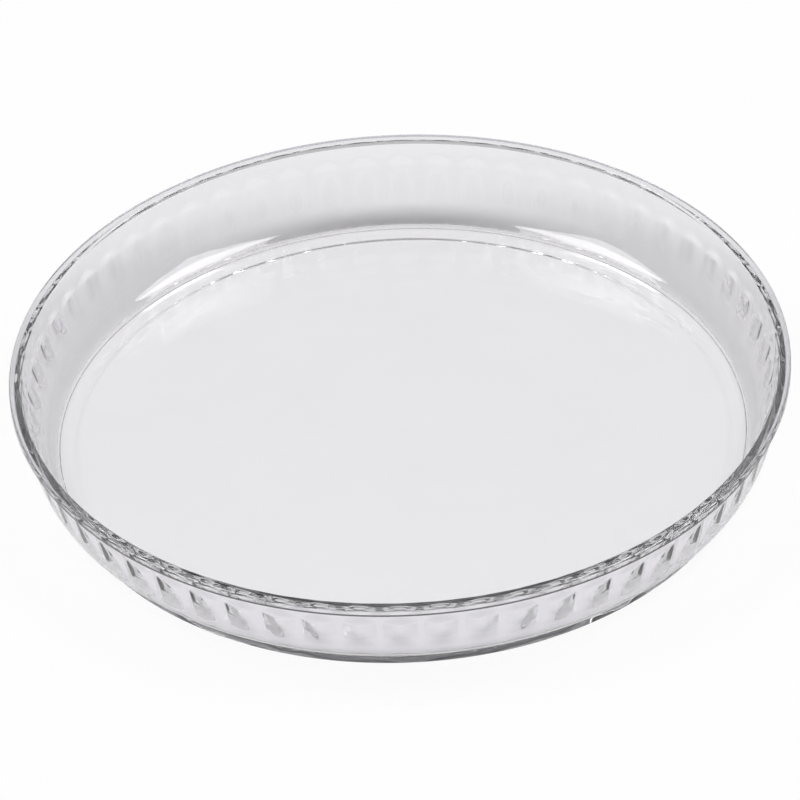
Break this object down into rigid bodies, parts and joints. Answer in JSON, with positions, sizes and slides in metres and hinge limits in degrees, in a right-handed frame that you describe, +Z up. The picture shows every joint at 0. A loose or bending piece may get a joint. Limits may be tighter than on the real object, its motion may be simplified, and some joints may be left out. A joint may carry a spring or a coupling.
{
  "type": "glass tart dish",
  "caption": "Round shallow tart dish of clear pressed glass, with a flat-topped lip, a smooth flaring outside, a fluted inner wall and a low foot ring that it stands on.",
  "frame": {"origin": "middle of the plane that the foot ring stands on", "axes": "+Z up along the axis of the dish, +X through the middle of one flute, +Y through the middle of another"},
  "size_m": [0.28, 0.28, 0.036],
  "materials": {
    "clear_glass": "clear, fire-polished gloss"
  },
  "bodies": {
    "root": {"tart_dish": "clear_glass"}
  },
  "joints": []
}
